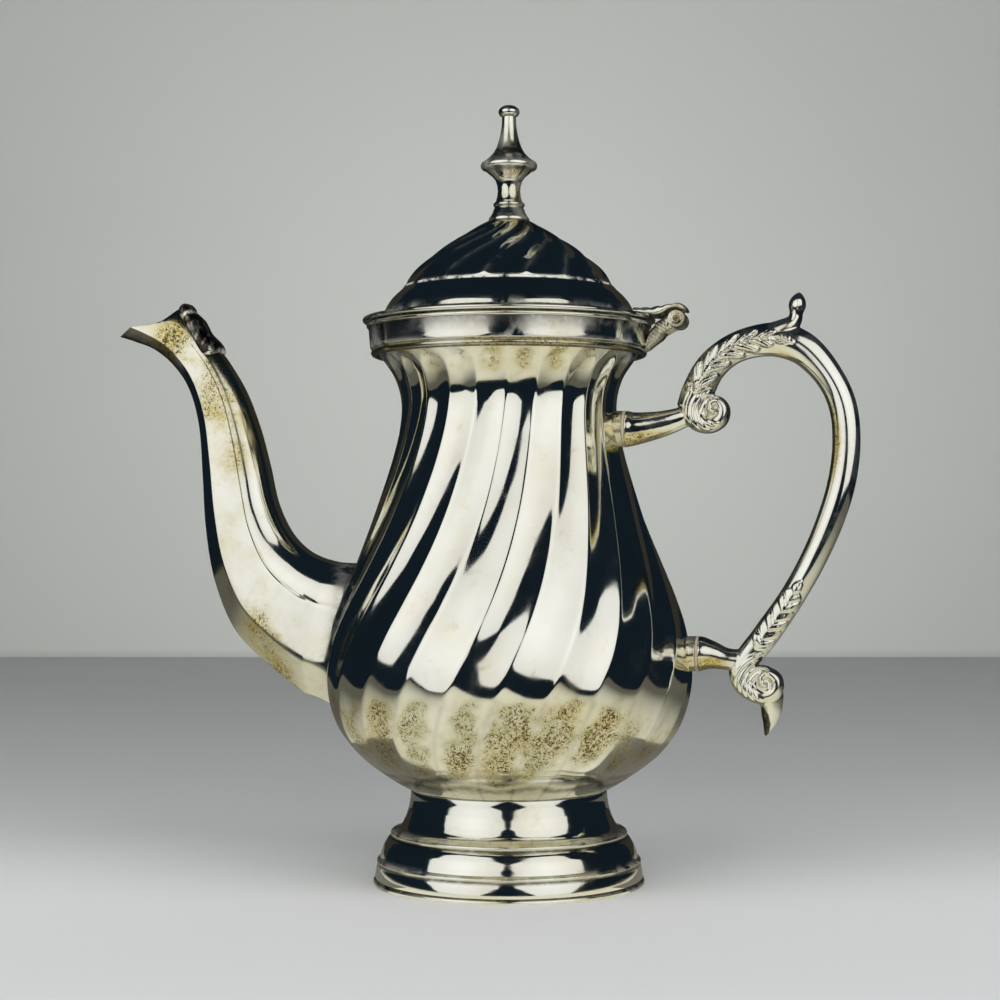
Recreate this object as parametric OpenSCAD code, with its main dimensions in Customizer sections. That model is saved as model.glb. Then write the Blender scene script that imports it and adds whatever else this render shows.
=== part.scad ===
// Coffee pot with swirled flutes, a hinged domed lid, a swan-neck spout and a scrolled handle.
// The pot stands on z = 0 with its axis on the origin. The spout points to -X, the handle to +X.

/* [Body] */
// Largest radius, over the ridges between the flutes
belly_r = 58.5; // [57:0.5:60]
// Radius of the waist under the rim band
neck_r = 34.6; // [34:0.2:36]
// Thickness of the sheet metal
wall = 1; // [0.8:0.1:1.2]
// Number of flutes round the body
flutes = 24; // [20:1:28]
// Depth of a flute at the belly
flute_depth = 1.2; // [0.8:0.1:2]
// How far a flute turns round the body from the neck to the foot, in degrees
swirl = 52; // [30:1:70]

/* [Rim] */
// Outer radius of the band at the mouth
band_r = 44.9; // [44.8:0.1:45.2]
// Height of the band's foot above the table
band_z = 169.7; // [169.4:0.1:170]

/* [Foot] */
// Outer radius of the foot at the table
foot_r = 43.2; // [43:0.1:44.6]
// Height at which the foot meets the body
foot_h = 29.6; // [29.2:0.1:30]

/* [Spout] */
// Half the width of the spout where it meets the body
spout_root_w = 18.5; // [16:0.5:20]
// Thickness of the cast spout
spout_wall = 1.3; // [1:0.1:1.6]
// Number of strainer holes up the wall behind the spout
strainer_rows = 5; // [3:1:6]
// Radius of a strainer hole
strainer_r = 1.7; // [1.2:0.1:2]

/* [Handle] */
// Half the width of the handle's grip across the pot
grip_w = 4.6; // [4:0.1:5.2]
// Thickness of the washer that keeps heat out of the handle
washer_t = 0.8; // [0.6:0.1:1]

/* [Lid] */
// Outer radius of the lid's rolled edge
lip_r = 46.8; // [46.4:0.1:47.2]
// Number of flutes round the lid
lid_flutes = 16; // [14:1:18]
// Depth of a flute on the lid
lid_flute_depth = 1; // [0.6:0.1:1.6]
// How far a flute turns round the lid from the finial to its foot, in degrees
lid_swirl = 55; // [30:1:70]

/* [Hinge] */
// Distance from the pot's axis to the hinge pin
hinge_x = 54.5; // [54.2:0.1:55]
// Radius of the hinge's barrel
barrel_r = 2.7; // [2.5:0.1:2.8]
// Radius of the hinge pin
pin_r = 1.1; // [0.9:0.05:1.2]

/* [Hidden] */

$fn = 72;
silver = "#c9c7bd";
shaded = "#a9a79c";
bone = "#e9e2cf";

// Heights that the pieces share
band_top = band_z + 7.8;
flute_foot = 34.6;
flute_top = band_z - 2.5;
lid_z = 178.5;
ring_z = 189.4;
ring_r = 33.2;
dome_top = 211;
hinge_z = 178;
upper_z = 143.9;
lower_z = 73.2;
front = -78;

// Outline of the body from the middle of its bottom to its mouth: radius, height
body_outline = [
    [0, foot_h - 3.6], [12, foot_h - 3.4], [23, foot_h - 2.4], [31.2, foot_h],
    [belly_r * 0.69, 35.1], [belly_r * 0.83, 41.6], [belly_r * 0.933, 50], [belly_r * 0.988, 60],
    [belly_r, 70], [belly_r * 0.971, 80.5], [belly_r * 0.909, 91], [belly_r * 0.836, 101.5],
    [belly_r * 0.762, 112.5], [belly_r * 0.697, 123.5], [neck_r * 1.081, 134.5],
    [neck_r * 1.014, 145], [neck_r, 153], [neck_r * 1.052, 160],
    [neck_r * 1.145, 165.2], [band_r - 1.7, band_z],
];

// Outline of the lid's dome from its foot ring to the finial: radius, height
dome_outline = [
    [ring_r, ring_z], [32.4, 191.6], [30.2, 194.6], [27, 197.6], [23, 200.8],
    [18.5, 203.9], [14, 206.7], [9.6, 209.3], [6.4, dome_top],
];

// Spout stations from the body to the lip: the point on the outer curve (x, z),
// the point on the inner curve (x, z), half the width, and half the width of the flat outer edge
spout_stations = [
    [-55.5, 52.7, -48.6, 101, spout_root_w, 5],
    [-68.5, 60.2, -58, 101.8, spout_root_w * 0.82, 4.6],
    [-80, 68.8, -66.5, 105, spout_root_w * 0.67, 4.2],
    [-91, 79.4, -73.2, 111.5, spout_root_w * 0.58, 3.8],
    [-98, 95, -78, 121.5, 10, 3.5],
    [-101.3, 112, -80.8, 133.5, 9.6, 3.2],
    [-102.6, 130, -84.3, 146, 9, 2.9],
    [-104, 146, -89, 157.8, 8.3, 2.5],
    [-107.4, 158, -95, 167.6, 7.6, 2.2],
    [-113, 166.2, -99.8, 173.8, 7, 1.8],
    [-120, 171.8, -104, 179.2, 6.2, 1.3],
    [-127, 174.6, -107.8, 183.2, 5.3, 0.9],
    [-132.6, 176.4, -111.2, 185.2, 4.6, 0.5],
];

// How far the spout's lip stands above a straight line, along it from the beak's tip
lip_curve = [[0, 0], [0.2, 0.8], [0.4, -0.4], [0.6, -1.9], [0.78, -2.1], [0.9, -1.2], [1, 0]];

// Stations along the handle: centre (x, z), half the thickness, and half the width
grip_stations = [
    [57.5, 148.5, 3.2, 3.4], [60.6, 155, 5, grip_w * 0.95], [64.6, 162.8, 4.8, grip_w],
    [71, 168.2, 4.7, grip_w], [79, 170.9, 5, grip_w], [87, 171, 5.4, grip_w],
    [94.6, 167.4, 5.1, grip_w], [101.6, 159.2, 4.4, grip_w], [105.6, 150, 4.3, grip_w],
    [106.6, 139, 4.3, grip_w], [105.2, 127, 4.3, grip_w], [101.6, 115, 4.2, grip_w],
    [96.4, 103, 4, grip_w], [90, 91.5, 3.9, grip_w * 0.96], [82.6, 80.6, 4.1, grip_w * 0.92],
    [76, 73.6, 3.8, grip_w * 0.86], [70.5, 71.6, 3.1, 3.4], [65.5, 72.8, 3.8, 4],
    [62.8, lower_z, 5, 5.1], [60 + washer_t, lower_z, 5.5, 5.5],
];
stem_stations = [
    [37 + washer_t, upper_z, 5.75, 5.75], [41, upper_z, 5.2, 5.2], [47, 144.9, 4.5, 4.6],
    [52, 146.4, 3.8, 3.9], [57, 148.4, 3.2, 3.4], [62, 149.6, 3, 3.2],
];
curl_stations = [
    [80, 171.4, 4.2, 4.2], [85.6, 173.4, 3.7, 4], [89.6, 175.4, 2.9, 3.6], [91.3, 178, 2, 3.1],
    [91.6, 181, 2.7, 3.5], [91.9, 183.8, 2.2, 3], [92.1, 185.6, 0.6, 1.2],
];
tail_stations = [
    [80.6, 66, 6.4, 4], [83, 60.4, 4.6, 3.8], [83.3, 57, 3.4, 3.3], [83, 54.4, 2.8, 2.9],
    [82.5, 51.6, 1.8, 2], [81.4, 48, 0.4, 0.6],
];
leaf_stations = [
    [92.4, 96.6, 1.2, 4.3], [89.4, 91.2, 2.2, 5], [84.6, 84, 2.4, 5], [79.6, 77.8, 2.2, 4.9], [76.6, 74.6, 1, 4.2],
];
crest_stations = [
    [-98.4, 170, 2.6, 7.4], [-100, 172.2, 3.5, 7.6], [-102.2, 175, 3.4, 7.4], [-104.4, 178, 3.1, 7],
    [-106.4, 181, 2.8, 6.2], [-108, 183.6, 2.4, 5.2], [-109.2, 185.6, 1.9, 4], [-109.9, 186.9, 0.8, 2.4],
];

// Curves ---------------------------------------------------------------------------------------

function clamp(v) = max(0, min(1, v));
function ease(v) = let (t = clamp(v)) t * t * (3 - 2 * t);
function item(rows, i) = rows[max(0, min(len(rows) - 1, i))];

// A smooth curve through the rows, at u from 0 to 1
function along(rows, u) =
    let (
        s = u * (len(rows) - 1), i = min(floor(s), len(rows) - 2), t = s - i,
        a = item(rows, i - 1), b = item(rows, i), c = item(rows, i + 1), d = item(rows, i + 2)
    )
    b + 0.5 * t * (c - a + t * (2 * a - 5 * b + 4 * c - d + t * (3 * b - a - 3 * c + d)));

// The unit direction of such a curve
function heading(rows, u) =
    let (d = along(rows, min(1, u + 0.004)) - along(rows, max(0, u - 0.004)), v = [d[0], d[1]]) v / norm(v);

function arc(c, r, a0, a1, n) =
    [for (i = [0:n]) let (a = a0 + (a1 - a0) * i / n) [c[0] + r * cos(a), c[1] + r * sin(a)]];

// How deep a flute is across its width: 1 in the middle and 0 on the ridges
function hollow(k) = let (t = abs(k % 4 - 2) / 2) 1 - t * t;

// Solids from rings of points ------------------------------------------------------------------

function band_faces(a, b, n) =
    [for (k = [0:n - 1], side = [0, 1])
        let (k1 = (k + 1) % n) side == 0 ? [a + k, b + k, b + k1] : [a + k, b + k1, a + k1]];

// A solid whose rings follow one another; it is capped at both ends, or joined into a closed loop
module skin(rings, loop = false) {
    n = len(rings[0]);
    m = len(rings);
    sides = [for (i = [0:m - (loop ? 1 : 2)]) each band_faces(i * n, (i + 1) % m * n, n)];
    caps = loop ? [] : [[for (k = [0:n - 1]) k], [for (k = [n - 1:-1:0]) (m - 1) * n + k]];
    polyhedron([for (r = rings) each r], concat(sides, caps), convexity = 8);
}

// An oval bar along stations of centre, half thickness and half width
module limb(rows, steps, sides = 12) {
    skin([for (i = [0:steps])
        let (u = i / steps, p = along(rows, u), t = heading(rows, u))
        [for (k = [0:sides - 1])
            let (a = 360 * k / sides, h = p[2] * cos(a))
            [p[0] + t[1] * h, p[3] * sin(a), p[1] - t[0] * h]]]);
}

module disc(x, z, r, half_w) {
    translate([x, 0, z]) rotate([90, 0, 0]) cylinder(h = 2 * half_w, r = r, center = true, $fn = 28);
}

module ring(points) {
    rotate_extrude() polygon(points);
}

// Body -----------------------------------------------------------------------------------------

// The turn of the flutes at a height: they straighten again under the belly
function turn(z) =
    let (t = clamp((band_z - z) / (band_z - 30.4))) front - swirl * (pow(t, 1.6) - 2 * pow(max(0, t - 0.72), 2));

// The depth of the flute at radius r and height z, at place k of 4 across it: shallower under the belly
function dip(r, z, k) =
    let (
        t = abs(k % 4 - 2) / 2, arch = flute_top - 4.5 * (1 - sqrt(1 - t * t)),
        depth = flute_depth * r / belly_r * (0.35 + 0.65 * ease((z - 58) / 30))
    )
    depth * hollow(k) * ease((z - flute_foot) / 12) * ease((arch - z) / 3);

// A ring of the body's skin, inset into the metal
function body_ring(u, inset) =
    let (
        p = along(body_outline, u), t = heading(body_outline, u), last = u == 1,
        r0 = p[0] - inset * (last ? 1.25 : t[1]), z0 = p[1] + inset * (last ? 0 : t[0])
    )
    [for (k = [0:4 * flutes - 1])
        let (a = turn(p[1]) + 90 * k / flutes, r = r0 - dip(p[0], p[1], k)) [r * cos(a), r * sin(a), z0]];

function body_r(z) =
    lookup(z, [for (i = [16:100]) let (p = along(body_outline, i / 100)) [p[1], p[0]]]);

module body_shell() {
    n = 4 * flutes;
    steps = 25;
    rings = concat(
        [for (i = [1:steps]) body_ring(i / steps, 0)],
        [for (i = [steps:-1:1]) body_ring(i / steps, wall)]
    );
    m = len(rings);
    points = concat([for (r = rings) each r], [[0, 0, body_outline[0][1]], [0, 0, body_outline[0][1] + wall]]);
    faces = concat(
        [for (i = [0:m - 2]) each band_faces(i * n, (i + 1) * n, n)],
        [for (k = [0:n - 1]) [m * n, k, (k + 1) % n]],
        [for (k = [0:n - 1]) [m * n + 1, (m - 1) * n + (k + 1) % n, (m - 1) * n + k]]
    );
    color(silver) difference() {
        polyhedron(points, faces, convexity = 8);
        for (row = [0:strainer_rows - 1], place = [-1:1])
            translate([-70, place * 6.5 + (row % 2) * 3.25, 64 + row * 6.5])
                rotate([0, 90, 0]) cylinder(h = 40, r = strainer_r, $fn = 24);
    }
}

// The turned foot: a flared collar over two steps
module foot() {
    outside = [
        [31.2, foot_h], [31.35, 27.2], [31.9, 24], [32.8, 21.2], [33.9, 18.9], [35.1, 17.5], [36.9, 16.8],
        [37.6, 16.3], [37.6, 15.6], [38.8, 14.4], [40, 12.4], [40.8, 10], [41.2, 8.1],
        [42, 7.5], [42, 6.9], [foot_r - 0.9, 4], [foot_r - 0.6, 1.6],
    ];
    inside = [for (i = [len(outside) - 1:-1:0]) outside[i] - [wall, i == 0 || i == len(outside) - 1 ? 0 : 0.4]];
    color(silver) ring(concat(outside, inside));
}

module foot_rim_wire() {
    color(silver) ring(concat(
        [[foot_r - 2, 0], [foot_r - 0.5, 0]],
        arc([foot_r - 0.8, 0.8], 0.8, -54, 60, 6),
        [[foot_r - 0.5, 1.6], [foot_r - 1.7, 1.6], [foot_r - 2, 1.2]]
    ));
}

module neck_bead() {
    r = band_r - 1.7;
    color(silver) ring(concat(
        [[r - 1, band_z - 1.9], [r - 0.4, band_z - 2.6]],
        arc([r - 0.3, band_z - 1.35], 1.2, -70, 70, 8),
        [[r + 0.2, band_z], [r - 0.3, band_z]]
    ));
}

// The band: a slightly tapered collar with a rolled top edge and an inner ledge over the body's mouth
module neck_band() {
    color(silver) ring(concat(
        [[band_r - 2.8, band_z], [band_r - 0.6, band_z], [band_r, band_top - 1.3]],
        arc([band_r, band_top - 0.65], 0.65, -90, 90, 8),
        [[band_r - 1.6, band_top], [band_r - 1.6, band_z + 1.6], [band_r - 2.8, band_z + 1]]
    ));
}

// Spout ----------------------------------------------------------------------------------------

// The section of the spout: place from the outer curve (0) to the inner one (1), and place across the width
function spout_section(edge) = let (half = [
    [0, edge], [0.26, 1], [0.5, 1], [0.7, 1], [0.86, 0.8], [1, 0.4]
]) concat([for (p = half) [p[0], -p[1]]], [for (i = [5:-1:0]) half[i]]);

function spout_ring(u, inset) =
    let (
        s = along(spout_stations, u), span = norm([s[2] - s[0], s[3] - s[1]]),
        dir = [s[2] - s[0], s[3] - s[1]] / span, w = s[4] - inset, sag = max(0, u - 0.85) / 0.15
    )
    [for (q = spout_section(max(0.2, s[5] - inset * 0.4) / w))
        let (d = inset + q[0] * (span - 2 * inset), y = q[1] * w, z = s[1] + dir[1] * d + sag * lookup(q[0], lip_curve))
        [u == 0 ? 1.4 - sqrt(pow(body_r(z), 2) - y * y) : s[0] + dir[0] * d, y, z]];

module spout() {
    steps = 30;
    color(silver) skin(concat(
        [for (i = [0:steps]) spout_ring(i / steps, 0)],
        [for (i = [steps:-1:0]) spout_ring(i / steps, spout_wall)]
    ), loop = true);
}

// The raised leaf on the back of the spout, just under its lip
module spout_crest() {
    color(shaded) limb(crest_stations, 12);
}

// Handle ---------------------------------------------------------------------------------------

module socket(from_x, to_x, z, r) {
    color(silver) translate([from_x, 0, z]) rotate([0, 90, 0]) cylinder(h = to_x - from_x, r = r);
}

module upper_socket() socket(33, 37, upper_z, 5.75);
module lower_socket() socket(57, 60, lower_z, 5.5);

module insulator(x, z, r) {
    color(bone) translate([x, 0, z]) rotate([0, 90, 0]) cylinder(h = washer_t, r = r);
}

module upper_insulator() insulator(37, upper_z, 5.8);
module lower_insulator() insulator(60, lower_z, 5.55);

module handle() {
    color(silver) union() {
        limb(grip_stations, 54);
        limb(stem_stations, 10);
        limb(curl_stations, 8);
        limb(tail_stations, 9);
        limb(leaf_stations, 8);
        // Upper scroll with its eye
        disc(64.6, 149, 6.3, 2.8);
        disc(64.7, 149, 5.2, 3.9);
        disc(67, 149.6, 2.2, 4.8);
        // Lower scroll with its eye
        disc(80.4, 64.2, 6.8, 2.8);
        disc(80.6, 64.3, 5.6, 3.9);
        disc(82.4, 63.6, 2.4, 4.8);
    }
}

// Hinge ----------------------------------------------------------------------------------------

module barrel(y0, y1, r) {
    translate([hinge_x, y1, hinge_z]) rotate([90, 0, 0]) cylinder(h = y1 - y0, r = r);
}

module upright(points, half_w) {
    translate([0, half_w, 0]) rotate([90, 0, 0]) linear_extrude(height = 2 * half_w) polygon(points);
}

module hinge_bracket() {
    web = [
        [43.4, band_z - 1.8], [45.4, band_z - 1.6], [46.6, band_z - 0.2], [47, band_z + 1.2], [48.8, band_z + 2.3],
        [51.6, hinge_z - 3.6], [52.8, hinge_z - 2.6], [52.6, hinge_z - 1], [48.4, band_top - 0.7], [43.9, band_top - 0.3],
        [43.7, band_z + 0.4],
    ];
    color(silver) difference() {
        union() {
            upright(web, 4);
            barrel(2.3, 6.3, barrel_r);
            barrel(-6.3, -2.3, barrel_r);
        }
        barrel(-2.3, 2.3, barrel_r + 0.5);
        barrel(-7, 7, pin_r);
    }
}

module hinge_pin() {
    color(shaded) barrel(-6.6, 6.6, pin_r);
}

// Lid ------------------------------------------------------------------------------------------

function lid_turn(r) = front + 8.8 + lid_swirl * pow(clamp((ring_r - r) / (ring_r - 9)), 1.25);

function lid_ring(u, inset) =
    let (
        p = along(dome_outline, u), t = heading(dome_outline, u), edge = u == 0,
        depth = lid_flute_depth * ease((p[1] - ring_z) / 5) * ease((p[0] - 6) / 8),
        r0 = p[0] - inset * (edge ? 1 : t[1]), z0 = p[1] + inset * (edge ? 0 : t[0])
    )
    [for (k = [0:4 * lid_flutes - 1])
        let (a = lid_turn(p[0]) + 90 * k / lid_flutes, d = depth * hollow(k), r = r0 - d * t[1])
        [r * cos(a), r * sin(a), z0 + d * t[0]]];

function flat_ring(r, z) =
    [for (k = [0:4 * lid_flutes - 1]) let (a = lid_turn(0) + 90 * k / lid_flutes) [r * cos(a), r * sin(a), z]];

module lid_dome() {
    steps = 11;
    color(silver) skin(concat(
        [for (i = [0:steps]) lid_ring(i / steps, 0)],
        [flat_ring(2, dome_top), flat_ring(2, dome_top - wall)],
        [for (i = [steps:-1:0]) lid_ring(i / steps, wall)]
    ), loop = true);
}

// The rounded shoulder under the dome, its flange and the rolled lip
module lid_rim() {
    shoulder = [
        [ring_r, ring_z], [34.8, 188], [36.5, 186.6], [38, 184.9], [39.1, 183.3], [39.8, 181.9], [40.2, 180.7],
        [40.3, 179.8],
    ];
    under = [for (i = [len(shoulder) - 1:-1:1]) shoulder[i] - [wall, 0.5]];
    color(silver) ring(concat(
        shoulder,
        [[lip_r - 0.8, lid_z + 1]],
        arc([lip_r - 0.8, lid_z + 0.2], 0.8, 90, -90, 8),
        [[lip_r - 1.4, lid_z - 0.5], [lip_r - 1.5, lid_z], [39.3, lid_z]],
        under,
        [[ring_r - wall, ring_z - 0.5], [ring_r - wall, ring_z]]
    ));
}

// The collar that drops into the mouth
module lid_bezel() {
    r = band_r - 2.2;
    color(shaded) ring([
        [r - 0.8, lid_z - 4.4], [r - 0.3, lid_z - 4.4], [r, lid_z - 4], [r, lid_z], [r - 0.8, lid_z],
    ]);
}

// The hinge leaf: a strap from the lid's shoulder that hoods the barrel, with the middle knuckle
module lid_leaf() {
    strap = concat(
        [[39.6, lid_z + 1], [39.9, lid_z + 3.4], [44.2, lid_z + 2.9], [47.6, lid_z + 3], [50.6, lid_z + 3.8]],
        arc([hinge_x, hinge_z], 4.8, 100, 40, 6),
        arc([hinge_x, hinge_z], barrel_r + 0.5, 30, 145, 8),
        [[hinge_x - 3.4, lid_z + 1.2], [lip_r, lid_z + 1]]
    );
    color(silver) difference() {
        union() {
            upright(strap, 6.3);
            barrel(-2, 2, barrel_r);
            translate([hinge_x - 2.4, -2, hinge_z]) cube([4.4, 4, barrel_r + 0.8]);
        }
        barrel(-3, 3, pin_r + 0.06);
    }
}

// Finial ---------------------------------------------------------------------------------------

module finial() {
    color(silver) ring(concat(
        [[0, dome_top - 6.4], [1.6, dome_top - 6.4], [1.6, dome_top], [6.5, dome_top], [6.5, dome_top + 0.7]],
        [[5.2, 213.2], [4.6, 215.2]],
        arc([4.2, 216.1], 0.8, -60, 70, 5),
        [[3.9, 218.6], [3.6, 220.6], [4, 223.1], [5.2, 225], [6.9, 226.3]],
        arc([7.7, 228.6], 1.4, -60, 60, 6),
        [[6.9, 230.8], [5, 232.8], [3.6, 235.8], [2.7, 238.6], [2.2, 241.4], [2.3, 243.2]],
        [for (a = [-48:12:84]) [3.4 * cos(a), 246 + 2.2 * sin(a)]],
        [[0, 248.2]]
    ));
}

module finial_washer() {
    color(shaded) ring([[1.75, dome_top - 2], [4.6, dome_top - 2], [4.6, dome_top - 1.2], [1.75, dome_top - 1.2]]);
}

module finial_nut() {
    color(shaded) translate([0, 0, dome_top - 5.2]) difference() {
        cylinder(h = 3.2, r = 3.4, $fn = 6);
        translate([0, 0, -1]) cylinder(h = 6, r = 1.6);
    }
}

foot();
foot_rim_wire();
body_shell();
neck_bead();
neck_band();
spout();
spout_crest();
upper_socket();
lower_socket();
upper_insulator();
lower_insulator();
handle();
hinge_bracket();
hinge_pin();
lid_dome();
lid_rim();
lid_bezel();
lid_leaf();
finial();
finial_washer();
finial_nut();
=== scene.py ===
"""Looks of the swirl-fluted coffee pot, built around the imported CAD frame."""
import math

import bpy
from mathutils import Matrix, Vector, noise


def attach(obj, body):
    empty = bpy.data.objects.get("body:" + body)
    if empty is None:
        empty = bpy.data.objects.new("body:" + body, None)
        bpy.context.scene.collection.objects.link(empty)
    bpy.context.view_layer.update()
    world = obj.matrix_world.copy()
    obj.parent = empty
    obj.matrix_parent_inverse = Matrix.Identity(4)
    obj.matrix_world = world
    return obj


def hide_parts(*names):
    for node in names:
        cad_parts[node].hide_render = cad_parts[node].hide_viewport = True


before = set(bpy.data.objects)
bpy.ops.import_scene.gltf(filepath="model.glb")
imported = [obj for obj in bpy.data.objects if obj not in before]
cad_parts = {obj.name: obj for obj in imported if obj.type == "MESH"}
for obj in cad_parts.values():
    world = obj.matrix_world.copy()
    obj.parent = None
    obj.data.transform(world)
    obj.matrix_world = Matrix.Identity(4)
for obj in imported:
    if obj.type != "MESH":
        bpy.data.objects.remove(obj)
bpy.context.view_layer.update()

MM = 0.001
TAU = 2 * math.pi

# Sizes shared with the CAD, in millimetres ---------------------------------------------------------
BELLY_R, NECK_R, BAND_R = 58.5, 34.6, 44.9
BAND_Z, BAND_TOP, FOOT_H = 169.7, 177.5, 29.6
WALL = 1.0
FLUTES, FLUTE_DEPTH, SWIRL = 24, 1.2, 52.0
FLUTE_FOOT, FLUTE_TOP = 34.6, 167.2
LID_FLUTES, LID_DEPTH, LID_SWIRL = 16, 1.0, 55.0
RING_R, RING_Z, DOME_TOP, LID_Z, LIP_R = 33.2, 189.4, 211.0, 178.5, 46.8
FRONT = -78.0
# The flutes lie this far inside the CAD's, so that they never pass its box
INSIDE_CAD = 0.1
HINGE_X, HINGE_Z = 54.5, 178.0


# Curves ---------------------------------------------------------------------------------------------

def clamp(v, lo=0.0, hi=1.0):
    return max(lo, min(hi, v))


def ease(v):
    t = clamp(v)
    return t * t * (3 - 2 * t)


def mix(a, b, t):
    return a + (b - a) * t


def along(rows, u):
    """A smooth curve through the rows, at u from 0 to 1: the same curve as in the CAD."""
    s = u * (len(rows) - 1)
    i = min(int(math.floor(s)), len(rows) - 2)
    t = s - i
    a, b, c, d = (rows[max(0, min(len(rows) - 1, j))] for j in (i - 1, i, i + 1, i + 2))
    return [
        q + 0.5 * t * (r - p + t * (2 * p - 5 * q + 4 * r - w + t * (3 * q - p - 3 * r + w)))
        for p, q, r, w in zip(a, b, c, d)
    ]


def heading(rows, u, step=0.002):
    a, b = along(rows, max(0, u - step)), along(rows, min(1, u + step))
    d = (b[0] - a[0], b[1] - a[1])
    n = math.hypot(*d) or 1
    return d[0] / n, d[1] / n


def arc(cx, cz, r, a0, a1, n):
    return [(cx + r * math.cos(math.radians(a0 + (a1 - a0) * i / n)),
             cz + r * math.sin(math.radians(a0 + (a1 - a0) * i / n))) for i in range(n + 1)]


def rounded(points, r, closed=True, n=4):
    """The polygon with its corners rounded off: r is a radius in millimetres, or a list of one per corner."""
    out, m = [], len(points)
    for i, p in enumerate(points):
        rr = r[i] if isinstance(r, (list, tuple)) else r
        if rr <= 0 or (not closed and i in (0, m - 1)):
            out.append(tuple(p))
            continue
        p = Vector(p)
        a, b = Vector(points[i - 1]) - p, Vector(points[(i + 1) % m]) - p
        cut = min(rr, a.length * 0.45, b.length * 0.45)
        a, b = p + a.normalized() * cut, p + b.normalized() * cut
        for k in range(n + 1):
            t = k / n
            q = a * (1 - t) ** 2 + p * 2 * t * (1 - t) + b * t * t
            out.append((q.x, q.y))
    return out


# Meshes ---------------------------------------------------------------------------------------------

def piece(name, points, faces, body, material, nodes, slot="silver_plate", sharp=None):
    """A smooth mesh piece from points in millimetres, riding on a body in place of CAD nodes."""
    mesh = bpy.data.meshes.new(name)
    mesh.from_pydata([(x * MM, y * MM, z * MM) for x, y, z in points], [], faces)
    mesh.validate()
    mesh.shade_smooth()
    if sharp:
        mesh.set_sharp_from_angle(angle=math.radians(sharp))
    mesh.materials.append(material)
    obj = bpy.data.objects.new(name, mesh)
    bpy.context.scene.collection.objects.link(obj)
    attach(obj, body)
    if nodes:
        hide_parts(*nodes)
    return obj


def rings_to_faces(m, n, loop, offset=0, caps=False):
    """Quads between m rings of n points; a ring's points run anticlockwise about the way the rings go."""
    faces = []
    for i in range(m if loop else m - 1):
        a, b = offset + i * n, offset + (i + 1) % m * n
        faces += [(a + k, a + (k + 1) % n, b + (k + 1) % n, b + k) for k in range(n)]
    if caps:
        faces.append(tuple(offset + k for k in reversed(range(n))))
        faces.append(tuple(offset + (m - 1) * n + k for k in range(n)))
    return faces


def skin(name, rings, body, material, nodes, loop=True, caps=False, **more):
    points = [p for ring in rings for p in ring]
    faces = rings_to_faces(len(rings), len(rings[0]), loop, caps=caps)
    return piece(name, points, faces, body, material, nodes, **more)


def lathe(name, profile, body, material, nodes, segments=192, sharp=50, **more):
    """A turned ring: the closed profile, in radius and height, runs outside first going up."""
    rings = [[(r * math.cos(TAU * k / segments), r * math.sin(TAU * k / segments), z)
              for k in range(segments)]
             for r, z in profile]
    return skin(name, rings, body, material, nodes, sharp=sharp, **more)


# Materials ------------------------------------------------------------------------------------------

class Nodes:
    """A few shortcuts for building a node tree."""

    def __init__(self, tree):
        self.tree = tree
        tree.nodes.clear()

    def add(self, kind, **values):
        node = self.tree.nodes.new(kind)
        for key, value in values.items():
            if hasattr(node, key):
                setattr(node, key, value)
            else:
                self.put(value, node.inputs[key.replace("_", " ")])
        return node

    def put(self, value, socket):
        if isinstance(value, bpy.types.NodeSocket):
            self.tree.links.new(value, socket)
        else:
            socket.default_value = value

    def math(self, operation, a, b=0.0, clamp_it=False):
        node = self.tree.nodes.new("ShaderNodeMath")
        node.operation, node.use_clamp = operation, clamp_it
        self.put(a, node.inputs[0])
        self.put(b, node.inputs[1])
        return node.outputs[0]

    def span(self, value, lo, hi, to_lo=0.0, to_hi=1.0, smooth=True):
        node = self.tree.nodes.new("ShaderNodeMapRange")
        node.interpolation_type = "SMOOTHSTEP" if smooth else "LINEAR"
        for socket, v in zip(node.inputs, (value, lo, hi, to_lo, to_hi)):
            self.put(v, socket)
        return node.outputs[0]

    def blend(self, factor, a, b):
        node = self.tree.nodes.new("ShaderNodeMix")
        node.data_type = "RGBA"
        self.put(factor, node.inputs["Factor"])
        self.put(a, node.inputs[6])
        self.put(b, node.inputs[7])
        return node.outputs[2]

    def noise(self, place, scale, detail=2.0, roughness=0.5, distortion=0.0):
        node = self.tree.nodes.new("ShaderNodeTexNoise")
        self.put(place, node.inputs["Vector"])
        node.inputs["Scale"].default_value = scale
        node.inputs["Detail"].default_value = detail
        node.inputs["Roughness"].default_value = roughness
        node.inputs["Distortion"].default_value = distortion
        return node.outputs["Fac"]


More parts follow.
